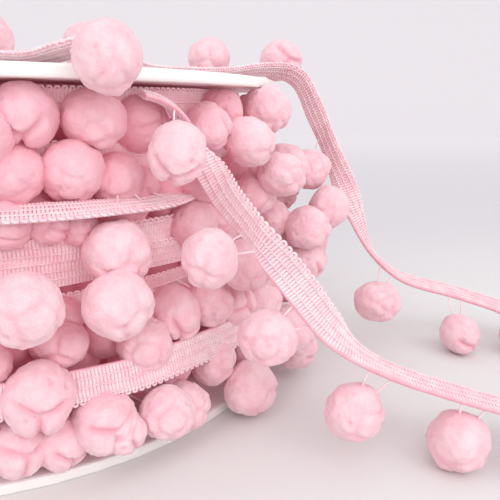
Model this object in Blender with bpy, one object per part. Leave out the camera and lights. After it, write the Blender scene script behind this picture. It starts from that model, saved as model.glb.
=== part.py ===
"""Pompom fringe trim wound on a plain plastic reel, with one loose run of the trim beside it.

The reel stands on the floor with its axis upright. The origin is on that axis, at the floor, and
+Z points up. Sizes are in metres: the tables are in millimetres and degrees, and MM turns them.
"""

import math
import random

import bmesh
import bpy
from mathutils import Matrix, Vector
from mathutils.geometry import delaunay_2d_cdt

MM = 0.001

# The reel: two discs on a barrel, open right through for a spindle.
REEL_RADIUS = 75.0 * MM
REEL_HEIGHT = 76.2 * MM
FLANGE_THICKNESS = 2.4 * MM
RIM_ROUNDING = 0.6 * MM
BARREL_RADIUS = 26.0 * MM
ARBOR_RADIUS = 23.0 * MM
REEL_SIDES = 56

# The trim: a braid with a pompom on two ties every 20 mm of its lower edge.
GAP = 0.3 * MM
BRAID_WIDTH = 6.0 * MM
BRAID_THICKNESS = 1.4 * MM
EDGE_CORD = 1.0 * MM
TIE_RADIUS = 0.4 * MM
TIE_SPREAD = 2.5 * MM
RUN_SECTIONS = 80

# The winding: a core of earlier laps, then one lap of braid and one of pompoms at each height.
CORE_RADIUS = 66.5 * MM
POMPOM_ACROSS = (10.6, 12.4)
POMPOM_STEP_DEG = 10.6
LAP_OUT = (69.0, 78.0)
LAP_RISE = 1.3
WIDEST = 90.0 * MM
LUMPINESS = 0.05
ROUGHNESS = 0.3 * MM
SKIRT = 1.12
HIDDEN = 0.2
MEAN_RADIUS = 72.0 * MM
CLOSEST_POINTS = 1.6 * MM
BAND_STEP_DEG = 8.0
DOME_RINGS = (
    # share of the pompom's radius, points
    (0.0, 1),
    (0.5, 6),
    (0.9, 9),
    (1.35, 9),
)
SEED = 7

# Each lap of braid: mean height, climb over half a turn, radius, and lean. A lean of 0 shows the
# braid's face with its looped edge up, 90 lays it like a shelf with that edge outwards, and 180
# turns that edge down.
BRAID_LAPS = (
    # height_mm, climb_mm, radius_mm, lean_deg
    (69.6, 0.6, 64.5, 10.0),
    (61.0, -1.0, 65.0, 15.0),
    (51.4, 0.3, 73.5, 104.0),
    (44.6, 0.0, 68.8, 6.0),
    (40.2, -0.4, 68.2, 14.0),
    (31.4, 1.0, 65.5, 20.0),
    (18.9, 0.0, 76.0, 158.0),
    (10.0, 1.0, 66.0, 60.0),
)

# Each lap of pompoms: its height, and the pompoms of the stretch that faces front, each with its
# angle from the front (-Y) towards the right (+X), height, distance of its centre from the reel's
# axis, and size. The rest of each lap is filled at an even step.
POMPOM_LAPS = (
    # height_mm, ((angle_deg, height_mm, out_mm, across_mm), ...)
    (67.4, (
        (20.6, 64.7, 70.5, 10.5), (26.6, 68.0, 67.5, 11.2), (36.6, 67.1, 67.5, 11.5),
        (45.7, 66.2, 65.5, 11.6), (58.5, 65.2, 70.0, 10.2), (73.2, 69.0, 76.0, 10.8),
        (66.0, 68.0, 68.0, 10.6), (86.0, 66.0, 70.5, 11.0),
    )),
    (58.6, (
        (24.4, 57.9, 67.5, 11.0), (32.7, 58.0, 68.0, 11.4), (40.2, 55.7, 67.0, 10.2),
        (44.2, 53.8, 66.0, 9.0), (56.2, 53.6, 70.0, 10.2), (64.5, 61.9, 76.0, 10.8),
        (75.0, 53.6, 68.4, 10.0), (71.0, 54.2, 80.5, 11.0), (84.0, 54.6, 79.0, 11.2),
    )),
    (49.4, (
        (22.8, 49.5, 70.0, 8.5), (28.2, 49.0, 69.5, 7.7), (32.7, 47.8, 68.5, 7.4),
        (53.4, 45.4, 71.0, 10.4), (60.6, 46.2, 69.0, 11.0), (71.5, 49.2, 74.0, 10.2),
        (90.2, 46.7, 77.0, 11.2), (80.0, 41.0, 75.0, 11.0),
    )),
    (40.2, (
        (23.7, 36.8, 79.5, 12.8), (36.2, 43.1, 76.8, 12.6), (59.0, 36.2, 80.0, 11.8),
        (79.6, 39.1, 85.2, 11.6), (82.6, 29.4, 85.0, 11.4), (69.4, 31.0, 76.0, 11.4),
        (92.0, 31.3, 80.0, 11.2),
    )),
    (31.0, (
        (30.0, 30.3, 67.0, 7.9), (35.1, 34.8, 76.5, 12.4), (48.2, 27.3, 71.4, 11.8),
        (56.0, 27.4, 72.6, 10.6), (62.4, 24.6, 73.4, 10.4), (67.6, 24.0, 77.4, 10.4),
        (87.0, 21.0, 80.0, 11.8),
    )),
    (21.8, (
        (17.4, 25.4, 72.0, 11.2), (28.9, 25.9, 70.0, 9.6), (24.7, 19.2, 76.0, 12.8),
        (41.3, 23.3, 73.0, 11.0), (55.6, 13.8, 73.6, 10.4), (66.0, 11.2, 74.5, 11.3),
        (71.4, 14.8, 83.0, 12.0), (82.0, 10.6, 80.0, 11.6),
    )),
    (10.6, (
        (15.4, 11.8, 73.0, 11.4), (21.5, 8.8, 73.4, 11.6), (27.2, 8.3, 73.4, 10.8),
        (33.0, 11.5, 76.4, 12.4), (35.0, 9.6, 78.5, 8.9), (42.0, 10.4, 79.0, 10.8),
        (46.4, 8.5, 76.4, 10.3), (59.2, 7.0, 80.6, 12.4), (75.0, 8.6, 84.0, 10.8),
        (47.6, 14.4, 69.0, 10.0),
    )),
)
FRONT_DEG = (12.0, 97.0)

# The loose run, from where it leaves the winding: down to the floor, round a turn on the right, back,
# up over the top flange's right end, and over the flange to its cut end. A lean of 0 stands the braid
# on its tied edge, and 90 lays its looped edge over to the left of the way that the run goes.
RUN = (
    # x_mm, y_mm, z_mm, lean_deg
    (48.5, -51.8, 71.8, 80.0),
    (51.6, -50.2, 70.9, 78.0),
    (54.1, -48.3, 68.9, 72.0),
    (56.8, -45.1, 64.1, 66.0),
    (59.8, -44.4, 59.1, 62.0),
    (62.4, -46.8, 55.4, 46.0),
    (65.1, -50.7, 52.0, 24.0),
    (68.9, -55.6, 48.4, 8.0),
    (72.8, -59.8, 44.4, 4.0),
    (78.6, -60.0, 37.2, 8.0),
    (84.4, -59.2, 29.4, 24.0),
    (90.4, -58.2, 23.2, 58.0),
    (99.0, -57.4, 18.4, 74.0),
    (110.4, -57.4, 14.6, 78.0),
    (120.0, -57.8, 12.0, 72.0),
    (134.0, -57.0, 8.4, 40.0),
    (150.0, -52.0, 5.4, 14.0),
    (163.0, -42.0, 4.8, 6.0),
    (169.0, -27.0, 4.8, 0.0),
    (166.5, -12.0, 5.0, -16.0),
    (158.0, -0.5, 6.6, -44.0),
    (146.5, 5.6, 10.6, -66.0),
    (131.5, 4.6, 15.6, -68.0),
    (113.0, -1.0, 22.0, -46.0),
    (103.4, -4.4, 30.0, -14.0),
    (99.0, -4.6, 39.6, 0.0),
    (95.6, -3.2, 48.0, 4.0),
    (91.6, 0.6, 58.0, 0.0),
    (87.4, 4.4, 68.0, 4.0),
    (82.4, 7.0, 77.4, 30.0),
    (74.0, 7.6, 79.8, 60.0),
    (62.0, 4.6, 78.6, 68.0),
    (52.0, 0.4, 78.4, 70.0),
    (44.6, -8.0, 78.3, 72.0),
    (41.0, -19.0, 78.4, 70.0),
    (41.4, -31.0, 79.2, 58.0),
    (44.6, -42.0, 80.0, 38.0),
    (45.2, -50.4, 81.0, 16.0),
    (42.0, -55.6, 81.4, 8.0),
    (36.4, -54.4, 80.8, 34.0),
    (28.6, -47.8, 78.8, 62.0),
    (19.0, -42.4, 78.4, 68.0),
    (8.0, -40.6, 78.4, 68.0),
    (-4.0, -41.0, 78.4, 68.0),
)

# Each pompom of the loose run: where its ties leave the braid, its centre, and its size.
LOOSE_POMPOMS = (
    # along_mm, x_mm, y_mm, z_mm, across_mm
    (8.6, 56.2, -59.4, 61.6, 10.6),
    (40.6, 61.8, -60.2, 42.6, 10.6),
    (58.6, 72.6, -59.4, 26.8, 10.8),
    (77.6, 89.8, -59.6, 11.4, 11.6),
    (97.6, 110.4, -60.6, 6.2, 12.2),
    (116.6, 128.6, -66.4, 6.0, 11.6),
    (136.6, 152.0, -60.4, 6.1, 12.0),
    (156.6, 173.4, -45.0, 6.0, 11.6),
    (175.6, 179.0, -24.0, 6.1, 12.0),
    (194.6, 156.6, -13.6, 6.1, 11.8),
    (211.6, 147.6, -6.0, 6.1, 12.0),
    (230.6, 130.2, -4.6, 6.2, 12.2),
    (256.6, 104.8, -8.4, 17.0, 12.0),
    (277.6, 90.1, -9.9, 43.8, 11.0),
    (295.6, 84.9, -6.1, 53.4, 10.8),
    (324.6, 77.6, 15.2, 82.6, 12.0),
    (341.6, 57.0, 12.0, 82.6, 12.0),
    (361.6, 33.0, -4.0, 82.4, 11.6),
    (374.6, 30.6, -19.6, 82.4, 11.8),
    (408.4, 46.2, -66.2, 77.0, 11.2),
    (438.4, 12.0, -32.0, 82.9, 12.2),
    (456.4, -6.0, -31.6, 82.4, 11.6),
)

# The strips that the loose pompoms hang from, one after another along the run.
FRINGES = (
    # node, first section, last section
    ("fringe_from_reel", 0, 18),
    ("fringe_on_floor", 18, 41),
    ("fringe_rising", 41, 55),
    ("fringe_on_flange", 55, 80),
)

BLUSH = (0.90, 0.56, 0.62, 1.0)
BLUSH_BRAID = (0.92, 0.60, 0.65, 1.0)
REEL_WHITE = (0.90, 0.89, 0.87, 1.0)


def clear_scene():
    for obj in list(bpy.data.objects):
        bpy.data.objects.remove(obj, do_unlink=True)


def new_collection(name):
    collection = bpy.data.collections.new(name)
    bpy.context.scene.collection.children.link(collection)
    return collection


def new_material(name, color, roughness):
    material = bpy.data.materials.new(name)
    material.use_nodes = True
    shader = material.node_tree.nodes["Principled BSDF"]
    shader.inputs["Base Color"].default_value = color
    shader.inputs["Roughness"].default_value = roughness
    shader.inputs["Metallic"].default_value = 0.0
    return material


def object_from(name, shape, collection, material=None):
    mesh = bpy.data.meshes.new(name)
    shape.to_mesh(mesh)
    shape.free()
    obj = bpy.data.objects.new(name, mesh)
    collection.objects.link(obj)
    if material:
        mesh.materials.append(material)
    return obj


def as_cutter(obj):
    obj.hide_render = True
    obj.display_type = "WIRE"
    return obj


def cut(obj, cutters):
    modifier = obj.modifiers.new("Clear " + cutters.name, "BOOLEAN")
    modifier.operation = "DIFFERENCE"
    modifier.solver = "EXACT"
    modifier.operand_type = "COLLECTION"
    modifier.collection = cutters


# ---------------------------------------------------------------- reel


def turned(name, profile, collection, material=None):
    """A closed outline of (radius, height) points, turned round the Z axis."""
    shape = bmesh.new()
    corners = [shape.verts.new((radius, 0.0, height)) for radius, height in profile]
    for a, b in zip(corners, corners[1:] + corners[:1]):
        shape.edges.new((a, b))
    bmesh.ops.spin(
        shape,
        geom=shape.verts[:] + shape.edges[:],
        cent=(0.0, 0.0, 0.0),
        axis=(0.0, 0.0, 1.0),
        angle=math.tau,
        steps=REEL_SIDES,
        use_merge=True,
        use_duplicate=False,
    )
    bmesh.ops.remove_doubles(shape, verts=shape.verts, dist=0.001 * MM)
    bmesh.ops.recalc_face_normals(shape, faces=shape.faces)
    return object_from(name, shape, collection, material)


def ring_profile(inner, outer, low, high, rounding=0.0):
    """The outline of a flat ring, with its outer edges eased."""
    ease = rounding * (1 - math.sqrt(0.5))
    if not rounding:
        return [(outer, high), (outer, low), (inner, low), (inner, high)]
    return [
        (outer - rounding, high),
        (outer - ease, high - ease),
        (outer, high - rounding),
        (outer, low + rounding),
        (outer - ease, low + ease),
        (outer - rounding, low),
        (inner, low),
        (inner, high),
    ]


def build_reel(collection, material):
    top = REEL_HEIGHT - FLANGE_THICKNESS
    for name, low in (("reel_bottom_flange", 0.0), ("reel_top_flange", top)):
        profile = ring_profile(
            ARBOR_RADIUS, REEL_RADIUS, low, low + FLANGE_THICKNESS, RIM_ROUNDING
        )
        turned(name, profile, collection, material)
    profile = ring_profile(ARBOR_RADIUS, BARREL_RADIUS, FLANGE_THICKNESS + GAP, top - GAP)
    turned("reel_barrel", profile, collection, material)


# ---------------------------------------------------------------- pompoms


def add_pompom(shape, centre, across, dice, grow=0.0):
    """A lumpy ball in a bmesh, a little wider than high or the other way round."""
    squash = 1.0 + dice.uniform(-LUMPINESS, LUMPINESS)
    size = Matrix.Diagonal((1.0, 1.0 / squash, squash, 1.0))
    turn = Matrix.Rotation(dice.uniform(0, math.tau), 4, "Z")
    ball = bmesh.ops.create_icosphere(
        shape,
        subdivisions=2,
        radius=across / 2 + grow,
        matrix=Matrix.Translation(centre) @ turn @ size,
    )
    for vertex in ball["verts"]:
        lump = 1.0 + dice.uniform(-LUMPINESS, LUMPINESS) * (0 if grow else 1)
        vertex.co = centre + (vertex.co - centre) * lump
        vertex.co.z = max(vertex.co.z, 0.0)


def add_rod(shape, root, tip, radius, sides):
    """A straight closed rod in a bmesh."""
    way = tip - root
    turn = way.to_track_quat("Z", "Y").to_matrix().to_4x4()
    bmesh.ops.create_cone(
        shape,
        cap_ends=True,
        segments=sides,
        radius1=radius,
        radius2=radius,
        depth=way.length,
        matrix=Matrix.Translation((root + tip) / 2) @ turn,
    )


def on_winding(angle_deg, out, height):
    angle = math.radians(angle_deg)
    return Vector((out * math.sin(angle), -out * math.cos(angle), height))


def winding_pompoms(dice):
    """(centre, across) of every pompom of the winding: the front ones, then the rest of each lap."""
    placed = []
    for lap, (height, front) in enumerate(POMPOM_LAPS):
        for angle, rise, out, across in front:
            placed.append((on_winding(angle, out * MM, rise * MM), across * MM))
        first, last = FRONT_DEG[1], FRONT_DEG[0] + 360.0
        count = round((last - first) / POMPOM_STEP_DEG)
        for place in range(count):
            angle = first + (last - first) * (place + 0.5 + 0.5 * (lap % 2)) / (count + 0.5)
            angle += dice.uniform(-1.6, 1.6)
            out = dice.uniform(*LAP_OUT)
            rise = height + dice.uniform(-LAP_RISE, LAP_RISE)
            across = dice.uniform(*POMPOM_ACROSS)
            placed.append((on_winding(angle, out * MM, rise * MM), across * MM))
    return placed


def widest_pompoms():
    """Four pompoms that hang out furthest, so that the winding reaches as far on every side."""
    across = 12.0 * MM
    out = WIDEST - across / 2
    return [
        (on_winding(angle, out, height * MM), across)
        for angle, height in ((0.0, 45.0), (85.0, 34.0), (180.0, 44.0), (270.0, 46.0))
    ]


# ---------------------------------------------------------------- winding


def turn_between(angle, other):
    return (angle - other + math.pi) % math.tau - math.pi


def pompom_out(pompom, angle, height):
    """How far from the axis the winding reaches over a pompom, sinking to the core beside it."""
    centre, across = pompom
    out = math.hypot(centre.x, centre.y)
    turn = turn_between(angle, math.atan2(centre.x, -centre.y))
    beside = math.hypot(out * turn, height - centre.z) / (across / 2)
    if beside > 2.2:
        return CORE_RADIUS
    return CORE_RADIUS + (out + across / 2 - CORE_RADIUS) * math.exp(-((beside / SKIRT) ** 4))


def band_middle(lap, angle):
    return (lap[0] + lap[1] * math.sin(angle)) * MM


def band_half_height(lap):
    return (BRAID_WIDTH * abs(math.cos(math.radians(lap[3]))) + BRAID_THICKNESS) / 2


def band_out(lap, angle, height):
    """How far from the axis the winding reaches over a lap of braid, and no more beside it."""
    if abs(height - band_middle(lap, angle)) > band_half_height(lap):
        return CORE_RADIUS
    lean = math.radians(lap[3])
    return lap[2] * MM + (BRAID_WIDTH * math.sin(lean) + BRAID_THICKNESS) / 2


def winding_out(pompoms, angle, height):
    """How far from the axis the winding reaches in one direction, at one height."""
    found = [pompom_out(pompom, angle, height) for pompom in pompoms]
    found += [band_out(lap, angle, height) for lap in BRAID_LAPS]
    return max(found)


def surface_places(pompoms, low, high):
    """(angle, height) of the points that the winding's outer face needs: rings on each pompom that
    shows, its foot, and both edges of each lap of braid. Points stay clear of each other."""
    wanted = []
    for share, count in DOME_RINGS:
        for number, (centre, across) in enumerate(pompoms):
            middle = math.atan2(centre.x, -centre.y)
            for k in range(count):
                way = math.tau * (k + 0.5 * (number % 2)) / count
                reach = share * across / 2
                angle = middle + reach * math.cos(way) / MEAN_RADIUS
                height = centre.z + reach * math.sin(way)
                own = pompom_out((centre, across), angle, height)
                if winding_out(pompoms, angle, height) > own + HIDDEN * across:
                    continue
                wanted.append((turn_between(angle, 0.0), height))
    for lap in BRAID_LAPS:
        for k in range(round(360 / BAND_STEP_DEG)):
            angle = turn_between(math.radians(BAND_STEP_DEG * k), 0.0)
            for side in (-0.9, 0.9):
                wanted.append((angle, band_middle(lap, angle) + side * band_half_height(lap)))
    kept = []
    margin = CLOSEST_POINTS
    for angle, height in wanted:
        along = angle * MEAN_RADIUS
        clear_of_edge = low + margin < height < high - margin
        if clear_of_edge and math.pi * MEAN_RADIUS - abs(along) > margin:
            if all((along - a) ** 2 + (height - h) ** 2 > margin**2 for a, h in kept):
                kept.append((along, height))
    return kept


def winding_shape(pompoms, low, high, dice):
    """The winding in a bmesh: its lumpy outer face, the wall round the barrel, and two flat ends."""
    half_round = math.pi * MEAN_RADIUS
    steps = REEL_SIDES
    rim = [(-half_round + 2 * half_round * k / steps, low) for k in range(steps + 1)]
    rim += [(along, high) for along, _ in rim]
    seam_steps = 16
    seam = []
    for k in range(1, seam_steps):
        height = low + (high - low) * k / seam_steps
        seam += [(-half_round, height), (half_round, height)]
    inner = surface_places(pompoms, low, high)
    places = [Vector(place) for place in rim + seam + inner]
    edges = [(k, k + 1) for k in range(steps)]
    edges += [(steps + 1 + k, steps + 2 + k) for k in range(steps)]
    flat, _, faces, _, _, _ = delaunay_2d_cdt(places, edges, [], 0, 0.01 * MM)
    shape = bmesh.new()
    verts = []
    for along, height in flat:
        on_edge = half_round - abs(along) < MM or min(height - low, high - height) < MM
        lump = 0.0 if on_edge else dice.uniform(-ROUGHNESS, ROUGHNESS)
        angle = along / MEAN_RADIUS
        out = winding_out(pompoms, turn_between(angle, 0.0), height) + lump
        verts.append(shape.verts.new((out * math.sin(angle), -out * math.cos(angle), height)))
    for face in faces:
        shape.faces.new([verts[k] for k in face])
    inside = BARREL_RADIUS + GAP
    walls = []
    for height, outer in ((low, verts[: steps + 1]), (high, verts[steps + 1 : 2 * steps + 2])):
        ring = []
        for k in range(steps + 1):
            angle = -math.pi + math.tau * k / steps
            ring.append(shape.verts.new((inside * math.sin(angle), -inside * math.cos(angle), height)))
        for k in range(steps):
            shape.faces.new((ring[k], ring[k + 1], outer[k + 1], outer[k]))
        walls.append(ring)
    for k in range(steps):
        shape.faces.new((walls[0][k], walls[0][k + 1], walls[1][k + 1], walls[1][k]))
    bmesh.ops.remove_doubles(shape, verts=shape.verts, dist=0.01 * MM)
    bmesh.ops.triangulate(shape, faces=shape.faces)
    bmesh.ops.recalc_face_normals(shape, faces=shape.faces)
    return shape


def build_winding(collection, cutters, material):
    dice = random.Random(SEED)
    low = FLANGE_THICKNESS + GAP
    high = REEL_HEIGHT - FLANGE_THICKNESS - GAP
    pompoms = winding_pompoms(dice) + widest_pompoms()
    shape = winding_shape(pompoms, low, high, dice)
    winding = object_from("wound_trim", shape, collection, material)
    cut(winding, cutters)


# ---------------------------------------------------------------- loose run


def curve_point(rows, place):
    """A point of the smooth curve through rows of numbers: place 2.5 is midway from row 2 to row 3."""
    index = min(int(place), len(rows) - 2)
    t = place - index
    before, after = max(index - 1, 0), min(index + 2, len(rows) - 1)
    weights = (
        (before, -0.5 * t + t * t - 0.5 * t**3),
        (index, 1.0 - 2.5 * t * t + 1.5 * t**3),
        (index + 1, 0.5 * t + 2.0 * t * t - 1.5 * t**3),
        (after, -0.5 * t * t + 0.5 * t**3),
    )
    return [sum(weight * rows[row][k] for row, weight in weights) for k in range(4)]


class LooseRun:
    """The loose run's middle line, read by the distance along it."""

    def __init__(self, rows, parts=16):
        count = (len(rows) - 1) * parts
        smooth = [curve_point(rows, step / parts) for step in range(count + 1)]
        self.points = [Vector(row[:3]) * MM for row in smooth]
        self.leans = [math.radians(row[3]) for row in smooth]
        self.along = [0.0]
        for a, b in zip(self.points, self.points[1:]):
            self.along.append(self.along[-1] + (b - a).length)
        self.length = self.along[-1]

    def index(self, along):
        low = 0
        while low < len(self.along) - 2 and self.along[low + 1] < along:
            low += 1
        return low

    def at(self, along):
        """(point, direction of the run, direction of the looped edge, direction of the face)."""
        low = self.index(along)
        span = self.along[low + 1] - self.along[low]
        share = (along - self.along[low]) / span
        point = self.points[low].lerp(self.points[low + 1], share)
        lean = self.leans[low] + (self.leans[low + 1] - self.leans[low]) * share
        before, after = max(low - 3, 0), min(low + 4, len(self.points) - 1)
        way = (self.points[after] - self.points[before]).normalized()
        up = (Vector((0, 0, 1)) - way * way.z).normalized()
        left = up.cross(way)
        looped = up * math.cos(lean) + left * math.sin(lean)
        return point, way, looped, looped.cross(way)


def strip(run, first, last, low, high, thick, name, collection, material=None):
    """A flat strip from one section of the run to another, from low to high across the braid."""
    step = run.length / RUN_SECTIONS
    places = [step * number for number in range(first, last + 1)]
    places[0] += GAP
    shape = bmesh.new()

    def corners(along):
        point, _, looped, face = run.at(along)
        return [
            point + looped * width + face * depth
            for width, depth in (
                (low, -thick / 2), (high, -thick / 2), (high, thick / 2), (low, thick / 2)
            )
        ]

    rings = [[shape.verts.new(corner) for corner in corners(along)] for along in places]
    for ring, following in zip(rings, rings[1:]):
        for k in range(4):
            shape.faces.new((ring[k], ring[k - 1], following[k - 1], following[k]))
    shape.faces.new(rings[0])
    shape.faces.new(rings[-1])
    bmesh.ops.triangulate(shape, faces=shape.faces)
    bmesh.ops.recalc_face_normals(shape, faces=shape.faces)
    return object_from(name, shape, collection, material)


def tie_ends(run, along, centre, across):
    """(root, tip) of a pompom's two ties, from the strip below the braid into the pompom."""
    ends = []
    for side in (-1, 1):
        point, _, looped, _ = run.at(along + side * TIE_SPREAD)
        root = point - looped * (BRAID_WIDTH / 2 + GAP + EDGE_CORD * 0.85)
        ends.append((root, centre + (root - centre).normalized() * across * 0.3))
    return ends


def build_fringe(run, node, first, last, collection, pieces, material):
    edge = -BRAID_WIDTH / 2 - GAP
    fringe = strip(
        run, first, last, edge - EDGE_CORD, edge, EDGE_CORD, node, collection, material
    )
    dice = random.Random(node)
    start, end = (run.length * section / RUN_SECTIONS for section in (first, last))
    for number, (along, x, y, z, across) in enumerate(LOOSE_POMPOMS):
        if not start < along * MM < end:
            continue
        centre = Vector((x, y, z)) * MM
        shape = bmesh.new()
        add_pompom(shape, centre, across * MM, dice)
        as_cutter(object_from(f"{node} pompom {number}", shape, pieces))
        for side, (root, tip) in enumerate(tie_ends(run, along * MM, centre, across * MM)):
            tie = bmesh.new()
            add_rod(tie, root, tip, TIE_RADIUS, 3)
            as_cutter(object_from(f"{node} tie {number} {side}", tie, pieces))
    join = fringe.modifiers.new("Sew on", "BOOLEAN")
    join.operation = "UNION"
    join.solver = "EXACT"
    join.operand_type = "COLLECTION"
    join.collection = pieces


def build_loose_run(collection, material, pompom_material):
    run = LooseRun(RUN)
    half = BRAID_WIDTH / 2
    strip(
        run, 0, RUN_SECTIONS, -half, half, BRAID_THICKNESS, "loose_braid", collection, material
    )
    for node, first, last in FRINGES:
        pieces = new_collection(node + " pieces")
        build_fringe(run, node, first, last, collection, pieces, pompom_material)
    return run


def loose_clearance(run, collection):
    """The room that the loose run needs beside the winding."""
    low = -BRAID_WIDTH / 2 - EDGE_CORD - 3 * GAP
    high = BRAID_WIDTH / 2 + 2 * GAP
    thick = BRAID_THICKNESS + 4 * GAP
    strip(run, 0, RUN_SECTIONS, low, high, thick, "Room for braid", collection)
    dice = random.Random(SEED)
    for number, (along, x, y, z, across) in enumerate(LOOSE_POMPOMS):
        centre = Vector((x, y, z)) * MM
        shape = bmesh.new()
        add_pompom(shape, centre, across * MM, dice, 2.5 * GAP)
        object_from(f"Room for pompom {number}", shape, collection)
        for side, (root, tip) in enumerate(tie_ends(run, along * MM, centre, across * MM)):
            shape = bmesh.new()
            add_rod(shape, root, tip, TIE_RADIUS + 2 * GAP, 6)
            object_from(f"Room for tie {number} {side}", shape, collection)
    for obj in collection.objects:
        as_cutter(obj)


def main():
    clear_scene()
    collection = new_collection("Pompom fringe trim on a reel")
    cutters = new_collection("Clearances")
    pompom_pink = new_material("Pompom yarn", BLUSH, 0.95)
    braid_pink = new_material("Braid yarn", BLUSH_BRAID, 0.8)
    white = new_material("Reel plastic", REEL_WHITE, 0.35)
    build_reel(collection, white)
    run = build_loose_run(collection, braid_pink, pompom_pink)
    loose_clearance(run, cutters)
    build_winding(collection, cutters, pompom_pink)


main()
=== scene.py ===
"""The looks of a pompom fringe trim on its reel: crocheted braid, soft pompoms, a plain white reel.

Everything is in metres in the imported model's frame: the reel's axis is Z, and it stands on z = 0.
Tables are in millimetres and degrees, and MM turns them into metres.
"""

import math
import random
from collections import namedtuple

import bmesh
import bpy
import numpy as np
from mathutils import Matrix, Vector, noise


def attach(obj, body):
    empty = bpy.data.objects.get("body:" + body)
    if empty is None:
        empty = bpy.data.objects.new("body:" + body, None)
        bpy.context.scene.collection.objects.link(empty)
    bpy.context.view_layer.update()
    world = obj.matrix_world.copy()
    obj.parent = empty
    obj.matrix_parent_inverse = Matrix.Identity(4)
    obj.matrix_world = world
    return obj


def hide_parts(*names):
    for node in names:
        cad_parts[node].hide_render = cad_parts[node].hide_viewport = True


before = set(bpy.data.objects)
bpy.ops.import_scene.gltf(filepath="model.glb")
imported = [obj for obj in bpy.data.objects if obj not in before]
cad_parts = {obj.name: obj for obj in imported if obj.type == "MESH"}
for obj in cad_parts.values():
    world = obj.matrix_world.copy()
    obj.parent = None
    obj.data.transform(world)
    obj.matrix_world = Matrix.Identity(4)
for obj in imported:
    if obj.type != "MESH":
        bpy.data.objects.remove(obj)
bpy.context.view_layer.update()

MM = 0.001

# The camera: its place, its turns in radians, and its lens.
CAMERA_PLACE = Vector((69.1, -163.2, 69.5)) * MM
CAMERA_PITCH = 0.2415
CAMERA_ROLL = 0.0076
SENSOR_MM = 36.0
PICTURE_WIDE_PX = 500
FOCAL_PX = 582
LENS_MM = FOCAL_PX / PICTURE_WIDE_PX * SENSOR_MM

# The reel, the heights between which its winding lies, and the gap that yarn keeps to the plastic.
REEL_RADIUS = 75.0 * MM
BARREL_RADIUS = 26.0 * MM
WINDING_HEIGHTS = (2.75 * MM, 73.45 * MM)
GAP = 0.4 * MM
ABOVE_FLOOR = 0.02 * MM

# The braid and its ties. Edges and chain rows are measured across it from its middle line. Plain
# stitches are for the laps that hardly show.
TIED_EDGE = -3.2 * MM
RIB_END = 2.45 * MM
BRAID_FACE = 0.64 * MM
STITCH = 1.4 * MM
RIB_RADIUS = 0.31 * STITCH
RIB_SWAY = 0.06 * STITCH
RIB_FLATNESS = 1.5
LOOP_REACH = 0.62 * MM
LOOP_RADIUS = 0.27 * MM
CHAIN_ROWS = (1.75 * MM, 0.0 * MM, -1.6 * MM)
CHAIN_SWAY = 0.10 * MM
CHAIN_RADIUS = 0.17 * MM
PLAIN_CHAIN_ROW = 0.1 * MM
PLAIN_CHAIN_RADIUS = 0.2 * MM
EDGE_CORD_RADIUS = 0.40 * MM
TIE_RADIUS = 0.22 * MM
TIE_SPREAD = 2.5 * MM

# The winding's outer pompoms, in millimetres and degrees, and how far out its widest ones reach.
POMPOM_ACROSS = (10.6, 12.4)
POMPOM_STEP_DEG = 10.6
POMPOM_SWAY_DEG = 1.6
LAP_OUT = (69.0, 78.0)
LAP_RISE = 1.3
WIDEST = 90.0 * MM
WIDEST_ACROSS = 12.0 * MM
WIDEST_PLACES = ((0.0, 45.0), (85.0, 34.0), (180.0, 44.0), (270.0, 46.0))

# The pompoms that fill the gaps from inside, and the laps below them. Within BESIDE_BRAID of a lap
# of braid they lie BEHIND_BRAID further in than it.
INNER_LAPS = 8
INNER_LAP_STEP = 8.5
INNER_IN_A_LAP = 38
INNER_SWAY_DEG = 1.5
INNER_RISE = 1.2
INNER_OUT = (61.5, 66.0)
INNER_ACROSS = (10.4, 12.0)
BEHIND_BRAID = 6.5
BESIDE_BRAID = 5.5
CORE_RADIUS = 58.0 * MM

# The shapes of pompoms. About a third part into lobes with deep creases, and the rest into tufts.
# A pompom's ranges are shares of its radius, and a spread is in radians from its top.
MOULDS = 14
SMALL_MOULDS = 8
LOBED_SHARE = 0.35
Creases = namedtuple("Creases", "depth width spread")
LOBE_CREASES = Creases(depth=(0.13, 0.20), width=0.18, spread=(0.55, 0.8))
TUFT_CREASES = Creases(depth=(0.04, 0.07), width=0.15, spread=(0.5, 0.65))
DIMPLE_DEPTH = (0.05, 0.10)
DIMPLE_WIDTH = 0.08
SWELL = 0.07
SWELL_WIDTH = 0.62
STRETCH = (0.94, 1.07)
# A crease or dimple this deep, as a share of the radius, gets the full painted shade.
HOLLOW_DEPTH = 0.12

# The way that a pompom's top faces: out from the reel, or forward on the loose run, and then a
# little down and forward.
FORWARD = Vector((0.1, -1.0, 0.0))
DROOP = Vector((0.0, -0.2, -0.35))
STRAY = 0.6

# The seed of what is left to chance.
SEED = 7

# The laps of braid. Past its own angle, and before the front, an outer lap sinks in among the
# pompoms, as far as SUNK_OUT.
Lap = namedtuple("Lap", "height climb out lean sinks_from")
BRAID_LAPS = (
    # height_mm, climb_mm, out_mm, lean_deg, sinks_from_deg
    Lap(69.6, 0.6, 64.5, 10.0, 300.0),
    Lap(61.0, -1.0, 65.0, 15.0, 300.0),
    Lap(51.4, 0.3, 73.5, 104.0, 42.0),
    Lap(44.6, 0.0, 68.8, 6.0, 300.0),
    Lap(40.2, -0.4, 68.2, 14.0, 300.0),
    Lap(31.4, 1.0, 65.5, 20.0, 300.0),
    Lap(18.9, 0.0, 76.0, 158.0, 66.0),
    Lap(10.0, 1.0, 66.0, 60.0, 300.0),
)
SUNK_OUT = 67.5
SINKS_OVER_DEG = 16.0
BEFORE_FRONT_DEG = (4.0, 40.0)

# The front stretch ends at the first angle, and the right one at the second. Only the front laps
# that lie further out than FINE_OUT have every yarn of their stitches.
BRAID_PARTS_DEG = (75, 218)
FINE_OUT = 67.0

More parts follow.
